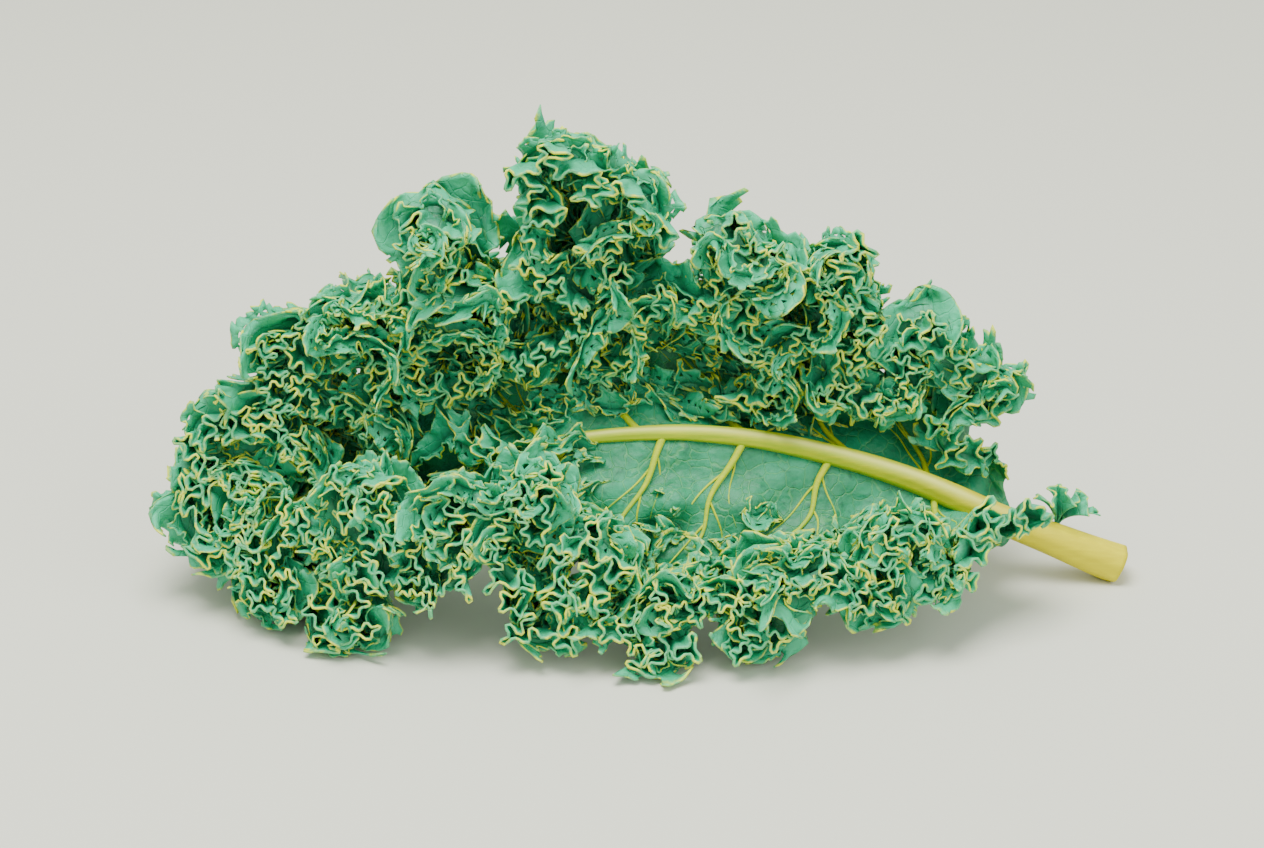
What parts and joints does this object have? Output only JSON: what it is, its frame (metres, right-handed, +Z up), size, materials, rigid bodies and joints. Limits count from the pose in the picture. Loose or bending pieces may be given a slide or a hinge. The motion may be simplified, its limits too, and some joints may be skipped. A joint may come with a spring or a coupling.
{
  "type": "kale leaf",
  "caption": "Single curly kale leaf lying on its side: ruffled blue-green blade on a pale cut stalk.",
  "frame": {"origin": "centre of the bounding box's base, on the surface that the leaf lies on", "axes": "+X from the leaf's tip towards the cut end of the stalk, -Y towards the front, where the underside and its midrib show, +Z up"},
  "size_m": [0.2586, 0.0858, 0.1261],
  "materials": {
    "stalk": "smooth fresh stem, satin",
    "blade": "waxy fresh leaf, satin",
    "stalk_leaflet": "waxy fresh leaf, satin"
  },
  "bodies": {
    "root": {"stalk": "stalk", "blade": "blade", "stalk_leaflet": "stalk_leaflet"}
  },
  "joints": []
}
